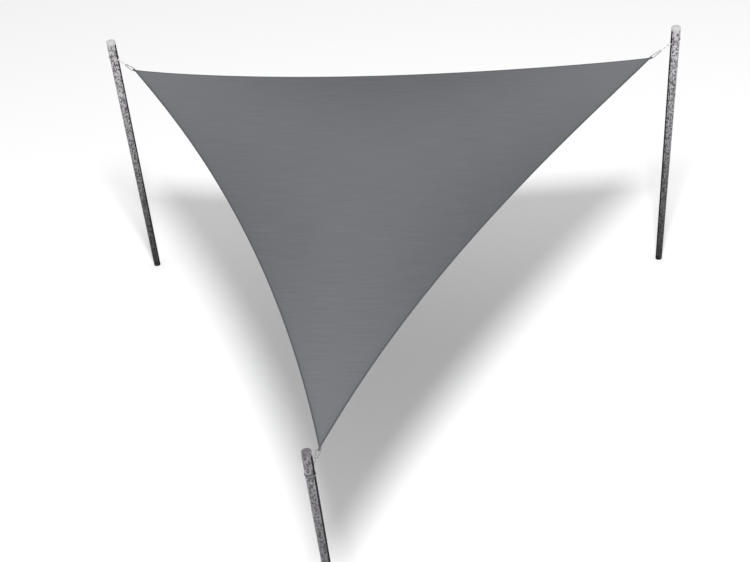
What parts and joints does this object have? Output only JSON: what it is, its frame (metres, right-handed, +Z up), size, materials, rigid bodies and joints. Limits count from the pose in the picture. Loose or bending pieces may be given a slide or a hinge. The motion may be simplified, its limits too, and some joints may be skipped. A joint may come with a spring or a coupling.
{
  "type": "triangular shade sail on posts",
  "caption": "Triangular grey shade sail with hollow-cut, hemmed edges, held taut by webbing tabs, steel rings and short ropes between leaning tube posts.",
  "frame": {"origin": "on the floor, at the middle of the box round the posts and the sail", "axes": "+Z up; +Y from the front post towards the short back edge; +X to the right, seen from the front post"},
  "size_m": [5.5653, 6.5762, 2.5281],
  "materials": {
    "sail_cloth": "matt woven polyester, mid grey, slubs across, hem folded double and a little darker",
    "corner_webbing": "dark grey woven webbing, stitched",
    "ring_steel": "bright steel wire",
    "rope": "off-white twisted rope",
    "seizing": "off-white twine, wound tight",
    "post_steel": "galvanised steel, mottled with dark purplish grey, darker towards the foot",
    "post_steel_dark": "galvanised steel, mottled as the others and darker",
    "post_cap": "light grey, plain, flat on top with a rounded edge",
    "post_cap_dark": "dark grey, lightly mottled, shaped as the light ones",
    "post_strip": "plain black"
  },
  "bodies": {
    "root": {"sail_cloth": "sail_cloth", "corner_tab_left": "corner_webbing", "corner_tab_right": "corner_webbing", "corner_tab_front": "corner_webbing", "ring_left": "ring_steel", "ring_right": "ring_steel", "ring_front": "ring_steel", "tie_rope_left": "rope", "tie_rope_right": "rope", "tie_rope_front": "rope", "ring_seizing_left": "seizing", "post_seizing_left": "seizing", "ring_seizing_right": "seizing", "post_seizing_right": "seizing", "ring_seizing_front": "seizing", "post_seizing_front": "seizing", "post_left": "post_steel", "post_right": "post_steel", "post_front": "post_steel_dark", "post_cap_left": "post_cap", "post_cap_right": "post_cap", "post_cap_front": "post_cap_dark", "dark_strip_left": "post_strip", "dark_strip_right": "post_strip", "dark_strip_front": "post_strip"}
  },
  "joints": []
}
